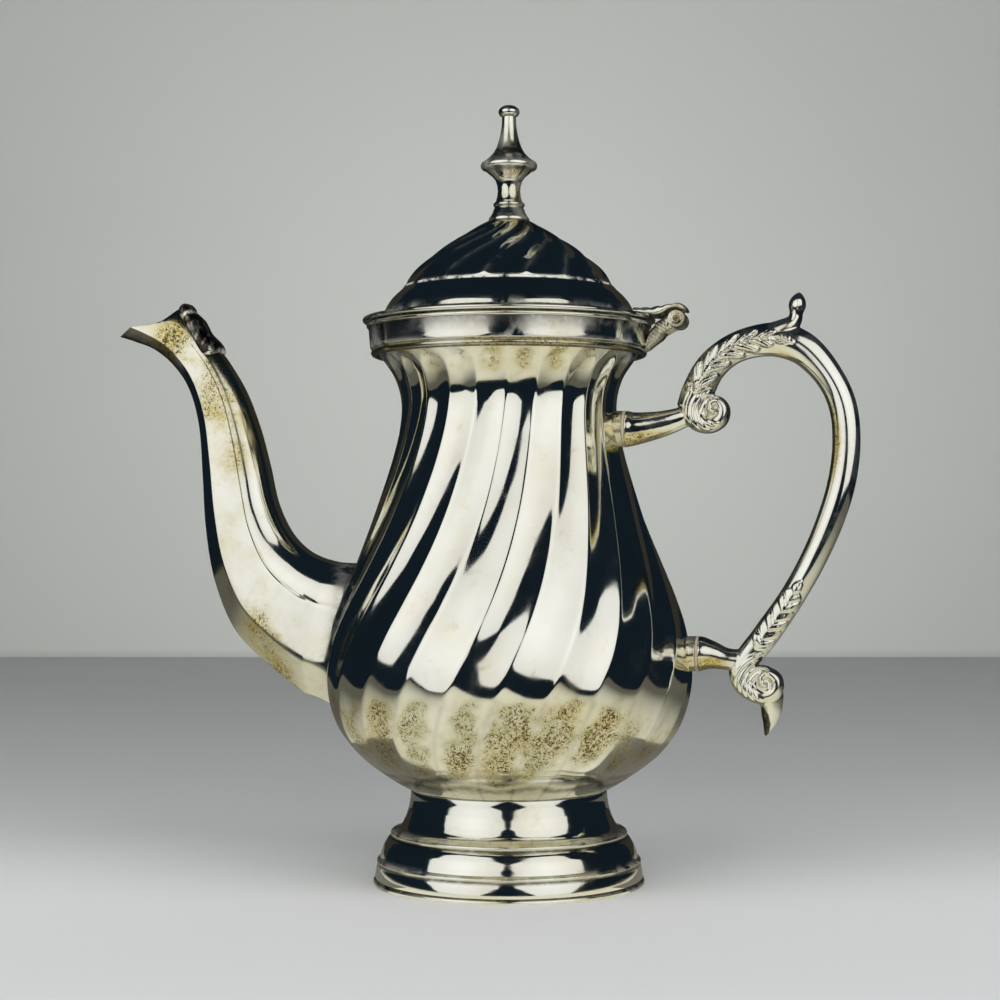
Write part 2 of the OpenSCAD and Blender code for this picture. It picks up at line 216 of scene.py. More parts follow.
def silver(name, clean=(0.88, 0.88, 0.81), warm=(0.80, 0.77, 0.63), stain=(0.55, 0.52, 0.34),
           gold=(0.60, 0.52, 0.27), rough=0.05, wave=0.00013, age=1.0):
    """Old silver plate. The mesh's vertex attribute says where it is speckled (x), hazy (y) and dark (z):
    tarnish flecks, white residue and dark tarnish, and in places painted highlights (hazy) and painted shade
    and painted reflections (dark).
    """
    material = bpy.data.materials.new(name)
    material.use_nodes = True
    n = Nodes(material.node_tree)
    place = n.add("ShaderNodeTexCoord").outputs["Object"]
    wear_and_painted_light = n.add("ShaderNodeAttribute", attribute_name="wear_and_painted_light").outputs["Vector"]
    parts = n.add("ShaderNodeSeparateXYZ", Vector=wear_and_painted_light).outputs
    cloud = n.noise(place, 42, 4, 0.55)
    patch = n.noise(place, 150, 5, 0.62, 0.4)
    worm = n.noise(place, 520, 3, 0.62, 1.6)
    grit = n.noise(place, 1100, 4, 0.7, 0.8)
    dust = n.noise(place, 3800, 2, 0.6)
    # Tarnish flecks: short worm-like strokes and grit, thick where the attribute asks for them
    amount = n.math("ADD", parts[0], n.span(patch, 0.52, 0.78, 0, 0.2 * age))
    amount = n.math("MULTIPLY", amount, n.span(cloud, 0.28, 0.62, 0.4, 1.15))
    ridge = n.math("ABSOLUTE", n.math("SUBTRACT", worm, 0.5))
    stroke = n.math("SUBTRACT", n.math("MULTIPLY", n.math("SUBTRACT", amount, 0.42), 0.10), ridge)
    stroke = n.math("MULTIPLY", n.span(stroke, -0.006, 0.008), n.span(grit, 0.44, 0.52))
    level = n.math("SUBTRACT", 0.735, n.math("MULTIPLY", amount, 0.16))
    speck = n.span(n.math("SUBTRACT", grit, level), -0.01, 0.04)
    speckle = n.math("MAXIMUM", stroke, speck)
    speckle = n.math("MULTIPLY", speckle, n.span(amount, 0.1, 0.6), True)
    film = n.math("MULTIPLY", n.span(amount, 0.05, 0.8), n.span(patch, 0.3, 0.65, 0.55, 0.95), True)
    # Haze is whitish residue, and in places painted highlights; dark is dark tarnish, and in places painted
    # shade and painted reflections
    haze = n.math("MULTIPLY", parts[1], n.span(patch, 0.4, 0.56), True)
    dark = n.math("MULTIPLY", parts[2], n.span(n.noise(place, 420, 4), 0.25, 0.6, 0.7, 1.1), True)
    tone = n.blend(n.span(cloud, 0.35, 0.75, 0, 0.6 * age), (*clean, 1), (*warm, 1))
    tone = n.blend(film, tone, n.blend(n.span(cloud, 0.4, 0.62), (*stain, 1), (*gold, 1)))
    fleck = n.blend(n.span(dust, 0.4, 0.6), (0.07, 0.05, 0.016, 1), (0.20, 0.145, 0.045, 1))
    tone = n.blend(speckle, tone, fleck)
    tone = n.blend(haze, tone, (0.66, 0.65, 0.58, 1))
    tone = n.blend(dark, tone, (0.05, 0.043, 0.033, 1))
    gloss = n.math("ADD", rough, n.math("MULTIPLY", n.span(patch, 0.35, 0.8), 0.05 * age))
    gloss = n.math("ADD", gloss, n.math("MULTIPLY", film, 0.13))
    gloss = n.math("ADD", gloss, n.math("MULTIPLY", speckle, 0.22))
    gloss = n.math("ADD", gloss, n.math("MULTIPLY", haze, 0.30))
    gloss = n.math("ADD", gloss, n.math("MULTIPLY", dark, 0.25), True)
    swell = n.add("ShaderNodeBump", Strength=1.0, Distance=wave, Height=n.noise(place, 38, 1.0, 0.4))
    pits = n.math("ADD", n.math("MULTIPLY", dust, 0.35),
                  n.math("MULTIPLY", grit, n.math("ADD", 0.2, speckle)))
    skin_bump = n.add("ShaderNodeBump", Strength=0.35, Distance=0.00002, Height=pits, Normal=swell.outputs[0])
    metal = n.math("SUBTRACT", 1.0, n.math("MULTIPLY", haze, 0.75))
    shader = n.add("ShaderNodeBsdfPrincipled", Metallic=metal, Base_Color=tone, Roughness=gloss,
                   Normal=skin_bump.outputs[0])
    out = n.add("ShaderNodeOutputMaterial")
    n.put(shader.outputs[0], out.inputs["Surface"])
    return material


def bone_material():
    material = bpy.data.materials.new("bone")
    material.use_nodes = True
    n = Nodes(material.node_tree)
    place = n.add("ShaderNodeTexCoord").outputs["Object"]
    grain = n.noise(place, 900, 5, 0.6)
    stain = n.noise(place, 260, 3, 0.6)
    tone = n.blend(n.span(stain, 0.4, 0.7), (0.42, 0.37, 0.26, 1), (0.28, 0.23, 0.14, 1))
    tone = n.blend(n.span(grain, 0.55, 0.75, 0, 0.5), tone, (0.42, 0.34, 0.22, 1))
    bump = n.add("ShaderNodeBump", Strength=0.4, Distance=0.00003, Height=grain)
    shader = n.add("ShaderNodeBsdfPrincipled", Base_Color=tone, Roughness=n.span(grain, 0.3, 0.7, 0.32, 0.5),
                   Normal=bump.outputs[0])
    out = n.add("ShaderNodeOutputMaterial")
    n.put(shader.outputs[0], out.inputs["Surface"])
    return material


def matte(name, tone, shade, scale, strength):
    """A plain studio surface with a faint paper grain; strength(n, place) darkens its colour from place to
    place, painting light falloff and shade into it.
    """
    material = bpy.data.materials.new(name)
    material.use_nodes = True
    n = Nodes(material.node_tree)
    place = n.add("ShaderNodeTexCoord").outputs["Object"]
    colour = n.blend(n.span(n.noise(place, scale, 2), 0.3, 0.7), (*tone, 1), (*shade, 1))
    colour = n.blend(strength(n, place), (0, 0, 0, 1), colour)
    bump = n.add("ShaderNodeBump", Strength=0.1, Distance=0.0002, Height=n.noise(place, 500, 3))
    shader = n.add("ShaderNodeBsdfPrincipled", Base_Color=colour, Roughness=0.75, Normal=bump.outputs[0])
    out = n.add("ShaderNodeOutputMaterial")
    n.put(shader.outputs[0], out.inputs["Surface"])
    return material


def wear_and_painted_light(obj, rule):
    """Stores on each vertex how speckled, hazy and dark it is: tarnish and residue, and in places painted
    highlights, painted shade and painted reflections.

    rule(x, y, z) gives the three from a place in millimetres."""
    mesh = obj.data
    attribute = mesh.attributes.new("wear_and_painted_light", "FLOAT_VECTOR", "POINT")
    for v, item in zip(mesh.vertices, attribute.data):
        item.vector = rule(v.co.x / MM, v.co.y / MM, v.co.z / MM)
    return obj


SILVER = silver("silver")
SILVER_CAST = silver("silver_cast", stain=(0.66, 0.61, 0.38), gold=(0.63, 0.51, 0.14), wave=0.00008,
                     rough=0.07, age=1.2)
BONE = bone_material()


# Body -----------------------------------------------------------------------------------------------

BODY_OUTLINE = [
    (0, FOOT_H - 3.6), (12, FOOT_H - 3.4), (23, FOOT_H - 2.4), (31.2, FOOT_H),
    (BELLY_R * 0.69, 35.1), (BELLY_R * 0.83, 41.6), (BELLY_R * 0.933, 50), (BELLY_R * 0.988, 60),
    (BELLY_R, 70), (BELLY_R * 0.971, 80.5), (BELLY_R * 0.909, 91), (BELLY_R * 0.836, 101.5),
    (BELLY_R * 0.762, 112.5), (BELLY_R * 0.697, 123.5), (NECK_R * 1.081, 134.5),
    (NECK_R * 1.014, 145), (NECK_R, 153), (NECK_R * 1.052, 160), (NECK_R * 1.145, 165.2),
    (BAND_R - 1.7, BAND_Z),
]


def turn(z):
    t = clamp((BAND_Z - z) / (BAND_Z - 30.4))
    return FRONT - SWIRL * (t ** 1.6 - 2 * max(0, t - 0.72) ** 2)


def hollow(s, soft=0.09):
    """How deep a flute is at s, from 0 on one ridge to 1 on the next; soft rounds the ridges."""
    edge = 1 - abs(2 * s - 1)
    edge = math.sqrt(edge * edge + soft * soft) - soft
    return 2 * edge - edge * edge


def flute_dip(r, z, s):
    t = abs(2 * s - 1)
    arch = FLUTE_TOP - 5.0 * (1 - math.sqrt(max(0, 1 - t * t)))
    foot = FLUTE_FOOT + 2.2 * t * t
    depth = FLUTE_DEPTH * r / BELLY_R * (0.35 + 0.65 * ease((z - 58) / 30))
    return INSIDE_CAD + depth * hollow(s) * ease((z - foot) / 9.0) * ease((arch - z) / 2.6)


def places(count, per, bunch=0.075):
    """Shares of the way round, bunched at the ridges, with each one's place in its flute."""
    shares = [k / per - bunch * math.sin(TAU * k / per) for k in range(per)]
    return [((f + s) / count, s) for f in range(count) for s in shares]


def body_ring(u, inset, spots):
    r0, z0 = along(BODY_OUTLINE, u)
    t = heading(BODY_OUTLINE, u)
    last = u >= 1
    rr = r0 - inset * (1.25 if last else t[1])
    zz = z0 + inset * (0 if last else t[0])
    start = math.radians(turn(z0))
    ring = []
    for share, s in spots:
        a, r = start + TAU * share, rr - flute_dip(r0, z0, s)
        ring.append((r * math.cos(a), r * math.sin(a), zz))
    return ring


def body_r(z):
    lo, hi = 0.16, 1.0
    for _ in range(40):
        mid = (lo + hi) / 2
        if along(BODY_OUTLINE, mid)[1] < z:
            lo = mid
        else:
            hi = mid
    return along(BODY_OUTLINE, lo)[0]


def body_wear_and_painted_light(x, y, z):
    angle = math.degrees(math.atan2(y, x))
    s = ((angle - turn(z)) / (360 / FLUTES)) % 1
    middle = hollow(s, 0.3)
    front = 0.4 + 0.6 * ease((math.cos(math.radians(angle + 82)) - 0.62) / 0.3)
    rough = noise.noise((x * 0.16, y * 0.16, z * 0.16)) + 0.6 * noise.noise((x * 0.4, y * 0.4, z * 0.4))
    spot = ease(1.35 - math.hypot((s - 0.5) / 0.46, (z - 50) / 12.5) + 0.30 * rough)
    low = 0.30 * ease((66 - z) / 6) + 0.95 * spot * front * (0.85 + 0.4 * rough)
    neck = 0.26 * ease((z - 153) / 8) + (0.40 + 0.5 * rough) * ease((z - 159) / 4) * middle
    flank = 0.05 + 0.16 * middle
    a = math.radians(angle)
    blot = clamp(0.5 + 1.1 * noise.noise((math.cos(a) * 3, math.sin(a) * 3, z * 0.2)))
    haze = 0.35 * blot * blot * ease((z - 161.5) / 3.5)
    # Painted reflection: a dark band with wavy lines from 31.5 to 37.5 mm up. Painted shade: darker still
    # below 34 mm, and a dark line along each ridge below about 64 mm
    wave = 0.5 + 0.5 * math.sin(2.1 * z + 1.2 * math.sin(math.radians(angle * FLUTES / 2)))
    dark = 0.6 * ease((z - 168.6) / 0.9) + (0.25 + 0.4 * wave) * ease((37.5 - z) / 2) * ease((z - 31.5) / 1.5)
    dark += 0.22 * ease((34 - z) / 2)
    dark += 0.17 * math.exp(-(min(s, 1 - s) / 0.06) ** 2) * ease((64 - z) / 4)
    if math.hypot(x, y) < body_r(clamp(z, FOOT_H, BAND_Z)) - FLUTE_DEPTH - 0.6:
        return 0.5, 0.3, 0.25
    return max(low, neck, flank), haze, dark


def body_shell():
    spots = places(FLUTES, 16)
    outer = [i / 230 for i in range(6, 231)]
    inner = [i / 90 for i in range(90, 2, -1)]
    rings = [body_ring(u, 0, spots) for u in outer] + [body_ring(u, WALL, spots) for u in inner]
    obj = skin("body", rings, "pot", SILVER, ["body_shell"], loop=False, caps=True, sharp=75)
    cutters = []
    for row in range(5):
        for place in (-1, 0, 1):
            cutters.append((place * 6.5 + (row % 2) * 3.25, 64 + row * 6.5))
    points, faces, sides = [], [], 32
    for cy, cz in cutters:
        base = len(points)
        for x in (-70, -30):
            points += [(x, cy + 1.7 * math.cos(TAU * k / sides), cz + 1.7 * math.sin(TAU * k / sides))
                       for k in range(sides)]
        faces += rings_to_faces(2, sides, False, offset=base, caps=True)
    mesh = bpy.data.meshes.new("strainer_cutter")
    mesh.from_pydata([(x * MM, y * MM, z * MM) for x, y, z in points], [], faces)
    cutter = bpy.data.objects.new("strainer_cutter", mesh)
    bpy.context.scene.collection.objects.link(cutter)
    cut = obj.modifiers.new("strainer", "BOOLEAN")
    cut.operation, cut.object, cut.solver = "DIFFERENCE", cutter, "MANIFOLD"
    apply_modifiers(obj)
    bpy.data.objects.remove(cutter)
    return wear_and_painted_light(obj, body_wear_and_painted_light)


def apply_modifiers(obj):
    bpy.context.view_layer.update()
    graph = bpy.context.evaluated_depsgraph_get()
    mesh = bpy.data.meshes.new_from_object(obj.evaluated_get(graph))
    obj.modifiers.clear()
    obj.data = mesh
    return obj


# Foot and rim ---------------------------------------------------------------------------------------

def foot():
    outside = [
        (31.2, FOOT_H), (31.35, 27.2), (31.9, 24), (32.8, 21.2), (33.9, 18.9), (34.9, 17.6),
        (36.4, 17.0), (37.1, 16.8), (37.65, 16.3), (37.65, 15.7), (37.5, 15.3), (38.6, 14.2),
        (39.8, 12.2), (40.6, 10), (41.0, 8.3), (41.5, 8.0), (42.0, 7.6), (42.05, 7.0),
        (41.85, 6.5), (42.2, 5), (42.45, 3.4), (42.6, 1.6),
    ]
    inside = [(r - WALL, z - (0 if i in (0, len(outside) - 1) else 0.4))
              for i, (r, z) in reversed(list(enumerate(outside)))]
    inside[0] = (41.4, 1.6)
    profile = rounded(list(reversed(outside + inside)), 0.6, n=3)
    obj = lathe("foot_turned", profile, "pot", SILVER, ["foot"])

    def rule(x, y, z):
        r = math.hypot(x, y)
        step = math.exp(-((z - 15.2) / 0.45) ** 2) + math.exp(-((z - 6.5) / 0.45) ** 2)
        lip = math.exp(-((z - 16.6) / 0.7) ** 2) + math.exp(-((z - 7.6) / 0.7) ** 2)
        seam = 0.45 * math.exp(-((z - FOOT_H + 0.1) / 0.22) ** 2)
        return 0.14 + 0.3 * lip, 0.35 * lip, clamp(0.8 * step + seam + (0.3 if r < 30 else 0))

    return wear_and_painted_light(obj, rule)


def foot_wire():
    profile = rounded([(41.2, 0), (42.6, 0), (43.1, 0.35), (43.2, 0.85), (42.95, 1.35), (42.7, 1.6),
                       (41.6, 1.6),
                       (41.2, 1.2)], 0.3)
    obj = lathe("foot_wire", profile, "pot", SILVER, ["foot_rim_wire"])
    return wear_and_painted_light(obj, lambda x, y, z: (0.35, 0.2, 0.7 * math.exp(-((z - 1.6) / 0.3) ** 2)))


def neck_bead():
    r = BAND_R - 1.7
    profile = ([(r - 1, BAND_Z - 1.9),
                (r - 0.4, BAND_Z - 2.6)] + arc(r - 0.3, BAND_Z - 1.35, 1.2, -70, 70, 14)
               + [(r + 0.2, BAND_Z), (r - 0.3, BAND_Z)])
    obj = lathe("neck_moulding", profile, "pot", SILVER, ["neck_bead"])

    def rule(x, y, z):
        return 0.6, 0.3 * ease((z - BAND_Z + 1.2) / 1), 0.12 + 0.6 * ease((BAND_Z - 1.7 - z) / 0.6)

    return wear_and_painted_light(obj, rule)


def neck_band():
    r = BAND_R
    profile = ([(r - 2.8, BAND_Z)] + rounded([(r - 2.8, BAND_Z), (r - 0.5, BAND_Z), (r - 0.4, BAND_Z + 1.5),
                                              (r, BAND_TOP - 1.3)], 0.35, closed=False)[1:]
               + arc(r, BAND_TOP - 0.65, 0.65, -90, 90, 14)
               + [(r - 1.6, BAND_TOP), (r - 1.6, BAND_Z + 1.6), (r - 2.8, BAND_Z + 1)])
    obj = lathe("rim_band", profile, "pot", SILVER, ["neck_band"], segments=256)

    def rule(x, y, z):
        blotch = 0.5 + 0.5 * noise.noise((x * 0.06, y * 0.06, z * 0.1))
        low = 0.2 * ease((BAND_Z + 1.6 - z) / 1.6)
        haze = 0.2 * ease((z - BAND_TOP + 1.2) / 0.8) + low + 0.25 * ease(2 - 4 * blotch)
        return 0.12 + 0.2 * blotch, haze, 0.6 * math.exp(-((z - BAND_TOP + 1.35) / 0.25) ** 2)

    return wear_and_painted_light(obj, rule)


# Spout ----------------------------------------------------------------------------------------------

SPOUT_ROOT_W, SPOUT_WALL = 18.5, 1.3
SPOUT_STATIONS = [
    (-55.5, 52.7, -48.6, 101, SPOUT_ROOT_W, 5),
    (-68.5, 60.2, -58, 101.8, SPOUT_ROOT_W * 0.82, 4.6),
    (-80, 68.8, -66.5, 105, SPOUT_ROOT_W * 0.67, 4.2),
    (-91, 79.4, -73.2, 111.5, SPOUT_ROOT_W * 0.58, 3.8), (-98, 95, -78, 121.5, 10, 3.5),
    (-101.3, 112, -80.8, 133.5, 9.6, 3.2), (-102.6, 130, -84.3, 146, 9, 2.9),
    (-104, 146, -89, 157.8, 8.3, 2.5), (-107.4, 158, -95, 167.6, 7.6, 2.2),
    (-113, 166.2, -99.8, 173.8, 7, 1.8), (-120, 171.8, -104, 179.2, 6.2, 1.3),
    (-127, 174.6, -107.8, 183.2, 5.3, 0.9), (-132.6, 176.4, -111.2, 185.2, 4.6, 0.5),
]


LIP_CURVE = [(0, 0), (0.2, 0.8), (0.4, -0.4), (0.6, -1.9), (0.78, -2.1), (0.9, -1.2), (1, 0)]


def lookup(rows, v):
    """The height at v of the straight lines that join the rows, as OpenSCAD's lookup gives it."""
    for (a, p), (b, q) in zip(rows, rows[1:]):
        if v <= b:
            return mix(p, q, (v - a) / (b - a))
    return rows[-1][1]


def spout_half(edge, groove):
    """One side of the section.

    Each point is its place from the outer curve (0) to the inner one (1), and its share of the half width."""
    half = [(0, 0), (0, edge * 0.7)]
    half += rounded([(0, edge * 0.7), (0.005, edge), (0.25, 0.985), (0.30, 1.0), (0.66, 1.0), (0.68, 0.995)],
                    0.03, closed=False)[1:]
    half += [(0.69, 0.99 - groove), (0.70, 0.99 - groove), (0.71, 0.99)]
    for k in range(1, 13):
        t = k / 12
        q = t * math.pi / 2
        half.append((0.71 + 0.29 * math.sin(q) ** 1.15, 0.99 * math.cos(q) ** 0.75))
    return half


def spout_ring(u, inset):
    s = along(SPOUT_STATIONS, u)
    dx, dz = s[2] - s[0], s[3] - s[1]
    span = math.hypot(dx, dz)
    dx, dz = dx / span, dz / span
    w = s[4] - inset
    sag = clamp((u - 0.85) / 0.15) ** 1.3
    groove = 0.05 * ease((u - 0.02) / 0.2) * ease((0.8 - u) / 0.1) if inset == 0 else 0
    half = spout_half(max(0.2, s[5] - inset * 0.4) / w, groove)
    section = [(p, -y) for p, y in half] + [(p, y) for p, y in reversed(half[1:-1])]
    flare = 0.9 * ease((0.022 - u) / 0.009) if inset == 0 else 0
    ring = []
    for p, q in section:
        d = inset + p * (span - 2 * inset)
        y = q * (w + flare)
        z = s[1] + dz * d + sag * lookup(LIP_CURVE, p) - flare * (1 - 2 * p)
        x = s[0] + dx * d
        if u < 0.07:
            root = 1.2 - math.sqrt(max(1, body_r(clamp(z, 30, 169)) ** 2 - y * y))
            x = mix(root, x, u / 0.07) if u > 0 else root
        ring.append((x, y, z))
    return ring


# Where the bevel under the beak meets the flat side: x, z. Below it the bevel is painted in shade.
BEVEL_LINE = [(-132.6, 177.4), (-126, 175.8), (-120, 174.4), (-114, 170.6), (-107.5, 161.7), (-104, 152)]


def spout():
    steps = 240
    rings = [spout_ring(i / steps, 0) for i in range(steps + 1)]
    rings += [spout_ring(i / 60, SPOUT_WALL) for i in range(60, -1, -1)]
    obj = skin("spout_cast", rings, "pot", SILVER_CAST, ["spout"], sharp=38)

    def rule(x, y, z):
        stain = 1.1 * math.exp(-((x + 111) / 6.5) ** 2 - ((z - 174.5) / 6.5) ** 2)
        stain += 0.75 * math.exp(-((x + 99) / 7) ** 2 - ((z - 160) / 14) ** 2)
        stain += 0.45 * math.exp(-((x + 90) / 6) ** 2 - ((z - 132) / 26) ** 2)
        stain += 0.7 * math.exp(-((x + 78) / 9) ** 2 - ((z - 86) / 14) ** 2)
        stain += 0.7 * math.exp(-((x + 74) / 12) ** 2 - ((z - 64) / 5) ** 2)
        root = math.exp(-((x + 52) / 2.5) ** 2)
        # Painted shade on the beak: dark at its tip, and on the bevel under it
        tip_shade = 0.9 * ease((-128.8 - x) / 2.2)
        if x < -104 and z < 180:
            tip_shade += ease((-105 - x) / 5) * ease((lookup(BEVEL_LINE, x) + 0.3 - z) / 0.8)
        return clamp(0.18 + stain), 0.2 * root, clamp(0.25 * root + tip_shade)

    return wear_and_painted_light(obj, rule)


# Bars and scrolls -----------------------------------------------------------------------------------

def limb_rings(rows, steps, sides=24, power=1.0, groove=None, facet=0.0, y0=0.0):
    """Rings of an oval bar along stations of centre, half thickness and half width.

    facet flattens each flank into two facets that lean away from its middle; groove(u) is how deep
    the line between them is cut."""
    rings = []
    for i in range(steps + 1):
        u = i / steps
        x, z, h, w = along(rows, u)
        t = heading(rows, u)
        h, w = max(h, 0.05), max(w, 0.05)
        cut = groove(u) if groove else 0.0
        ring = []
        for k in range(sides):
            a = TAU * k / sides
            ca, sa = math.cos(a), math.sin(a)
            ca = math.copysign(abs(ca) ** power, ca)
            sa = math.copysign(abs(sa) ** power, sa)
            y = w * sa * (1 - facet * abs(ca)) - math.copysign(cut * math.exp(-(ca * h / 0.42) ** 2), sa)
            ring.append((x + t[1] * h * ca, y + y0, z - t[0] * h * ca))
        rings.append(ring)
    return rings


def merge(name, parts, body, material, nodes, voxel=0.42, smooth=6, relief=None, **more):
    """Joins overlapping closed parts, each a list of rings, into one skin like a casting."""
    points, faces = [], []
    for rings in parts:
        faces += rings_to_faces(len(rings), len(rings[0]), False, offset=len(points), caps=True)
        points += [p for ring in rings for p in ring]
    obj = piece(name, points, faces, body, material, nodes, **more)
    remesh = obj.modifiers.new("cast", "REMESH")
    remesh.mode, remesh.voxel_size, remesh.use_smooth_shade = "VOXEL", voxel * MM, True
    relax = obj.modifiers.new("relax", "SMOOTH")
    relax.factor, relax.iterations = 0.5, smooth
    apply_modifiers(obj)
    if relief:
        carve(obj.data, relief)
    obj.data.shade_smooth()
    return obj


def carve(mesh, relief):
    """Raises both flanks of a casting by relief(x, z) millimetres, where they face sideways."""
    mesh.update()
    facing = [(v.index, v.normal.y) for v in mesh.vertices if abs(v.normal.y) > 0.35]
    for index, ny in facing:
        v = mesh.vertices[index]
        raised = relief(v.co.x / MM, v.co.z / MM) * ease((abs(ny) - 0.35) / 0.35)
        if raised:
            v.co.y += math.copysign(raised * MM, ny)
    mesh.update()


def rod(x, z, r, y0, y1, sides=40):
    """Rings of a round bar that lies along Y."""
    return [[(x + r * math.cos(TAU * k / sides), y, z + r * math.sin(TAU * k / sides)) for k in range(sides)]
            for y in (y1, y0)]


def crest():
    rows = [
        (-99.0, 168.8, 1.6, 5.6), (-99.7, 170.2, 3.3, 7.2), (-101.0, 172.2, 3.5, 7.3),
        (-102.9, 174.8, 2.9, 7.0), (-104.2, 176.7, 2.8, 6.8), (-105.2, 178.4, 3.0, 6.6),
        (-106.3, 180.3, 3.0, 6.2), (-107.2, 181.9, 2.4, 5.7), (-108.0, 183.2, 1.9, 5.0),
        (-108.8, 184.4, 2.3, 4.7), (-109.6, 185.8, 1.9, 3.6), (-110.0, 186.8, 0.7, 1.6),
    ]
    obj = merge("spout_leaf", [limb_rings(rows, 60, 36, power=0.8)], "pot", SILVER_CAST, ["spout_crest"],
                voxel=0.24, smooth=1)

    def rule(x, y, z):
        # Along the leaf from its lower end, measured up its slope
        t = (z - 168) * 0.83 - (x + 99) * 0.55
        # Painted highlights at the leaf's two lips; elsewhere the leaf is painted almost black, with lighter
        # streaks
        lip_highlights = math.exp(-((t - 1.2) / 0.9) ** 2) + math.exp(-((t - 17.4) / 0.7) ** 2)
        streak = ease(noise.noise((x * 0.9, y * 0.5, z * 0.35)) * 3)
        return 0.3, clamp(lip_highlights + 0.10 * streak), clamp(1.0 - 1.2 * lip_highlights - 0.4 * streak)

    return wear_and_painted_light(obj, rule)


# Handle ---------------------------------------------------------------------------------------------

UPPER_Z, LOWER_Z, WASHER = 143.9, 73.2, 0.8
GRIP = [
    (57.9, 149.5, 4.2, 4.2), (60.6, 155.4, 5.0, 4.4), (64.6, 162.8, 4.8, 4.5),
    (71, 168.2, 4.7, 4.6), (79, 170.9, 5, 4.6), (87, 171, 5.4, 4.6), (94.6, 167.4, 5.1, 4.6),
    (101.6, 159.2, 4.4, 4.6), (105.6, 150, 4.3, 4.6), (106.6, 139, 4.3, 4.6),
    (105.2, 127, 4.3, 4.6), (101.6, 115, 4.2, 4.6), (96.4, 103, 4, 4.6), (90, 91.5, 3.9, 4.4),
    (82.6, 80.6, 4.1, 4.2), (77.2, 73.4, 3.9, 4.0),
]
UPPER_VOLUTE = [
    (62.4, 159.4, 4.6, 4.2), (59.9, 154, 4.4, 4.3), (58.9, 149.6, 3.6, 4.4),
    (60.6, 146.2, 3.2, 4.5), (64.3, 144.9, 2.7, 4.5), (67.7, 146.5, 2.4, 4.4),
    (68.6, 149.8, 2.1, 4.4), (66.9, 152.1, 1.8, 4.4), (64.9, 151.3, 1.5, 4.5),
    (64.9, 149.4, 1.3, 4.7), (66.3, 149.0, 1.3, 4.9),
]
LOWER_VOLUTE = [
    (81.0, 78.6, 3.9, 4.2), (76.4, 72.6, 3.9, 4.1), (74.0, 68.2, 3.7, 4.2), (74.6, 64.2, 3.2, 4.3),
    (77.6, 61.4, 2.8, 4.3), (81.6, 60.3, 2.6, 4.2), (84.6, 62.0, 2.3, 4.2), (85.0, 65.4, 2.0, 4.2),
    (82.8, 67.4, 1.7, 4.3), (80.6, 66.2, 1.4, 4.4), (80.9, 64.2, 1.2, 4.6), (82.3, 63.9, 1.2, 4.8),
]
UPPER_STEM = [
    (37 + WASHER, UPPER_Z, 5.75, 5.75), (38.4, UPPER_Z, 5.7, 5.7), (41, 144.0, 5.2, 5.2),
    (47, 144.9, 4.4, 4.5), (52, 146.1, 3.8, 3.8), (56.5, 147.6, 3.3, 3.4), (60, 148.8, 3, 3.2),
]
LOWER_STEM = [
    (60 + WASHER, LOWER_Z, 5.5, 5.5), (62.2, LOWER_Z, 5.3, 5.3), (65.0, 72.8, 4.4, 4.6),
    (69.0, 71.8, 3.5, 4.0), (73, 71.4, 3.4, 3.8), (76.5, 72.0, 3.4, 3.6),
]
CURL = [
    (78, 170.6, 4.6, 4.3), (84.6, 173.0, 3.9, 4.1), (88.6, 175.0, 3.2, 3.8),
    (90.8, 177.2, 2.3, 3.2), (91.3, 179.4, 2.1, 3.1), (91.6, 181.6, 2.7, 3.5),
    (91.9, 183.6, 2.3, 3.0), (92.1, 185.1, 1.2, 1.8), (92.1, 185.8, 0.3, 0.5),
]
TAIL = [
    (80.6, 65, 5.4, 3.8), (82.8, 61.0, 4.4, 3.8), (83.4, 57.4, 3.5, 3.5), (83.1, 54.4, 2.9, 3.0),
    (82.6, 51.6, 1.9, 2.1), (81.5, 48.0, 0.35, 0.5),
]
UPPER_EYE, LOWER_EYE = (67.2, 149.6), (82.8, 63.4)


def spine(start, end, count=160):
    """Points along the grip from one share of it to another: x, z, the direction, and the way gone so far."""
    rows, gone = [], 0.0
    for i in range(count + 1):
        u = mix(start, end, i / count)
        x, z = along(GRIP, u)[:2]
        t = heading(GRIP, u)
        if end < start:
            t = (-t[0], -t[1])
        if rows:
            gone += math.hypot(x - rows[-1][0], z - rows[-1][1])
        rows.append((x, z, t[0], t[1], gone))
    return rows


UPPER_SPINE, LOWER_SPINE = spine(0.0, 0.37), spine(1.0, 0.835)


def leaf(rows, x, z, pitch, sweep, width, height, start, scaly=False):
    """Height of a feathered leaf over the bar's flank: its lobes sweep forward from a spine.

    Scaly lobes overlap like a row of chevrons; the others are separate barbs."""
    near = min(rows, key=lambda p: (p[0] - x) ** 2 + (p[1] - z) ** 2)
    dx, dz = x - near[0], z - near[1]
    v = abs(dx * near[3] - dz * near[2])
    gone, reach = near[4] - start, rows[-1][4] - start
    if v > 5.4 or gone <= 0 or gone >= reach:
        return 0.0
    q = ((gone - sweep * v) / pitch) % 1
    lobe = math.sin(math.pi * q) ** 0.8
    half = width * (0.60 + 0.40 * lobe) * math.sqrt(ease((reach - gone) / (0.45 * reach)))
    inside = ease((half - v) / 0.6 + 0.5) * ease(gone / 3) * ease((reach - gone) / 1.5)
    if scaly:
        form = 0.15 + 0.85 * ease(q / 0.12) * (1 - q) - 0.25 * math.exp(-((q - 0.5) / 0.07) ** 2)
    else:
        form = 0.1 + 0.9 * lobe - 0.22 * math.exp(-((q - 0.5) / 0.09) ** 2) - 0.35 * math.exp(-(v / 0.4) ** 2)
    return height * form * inside


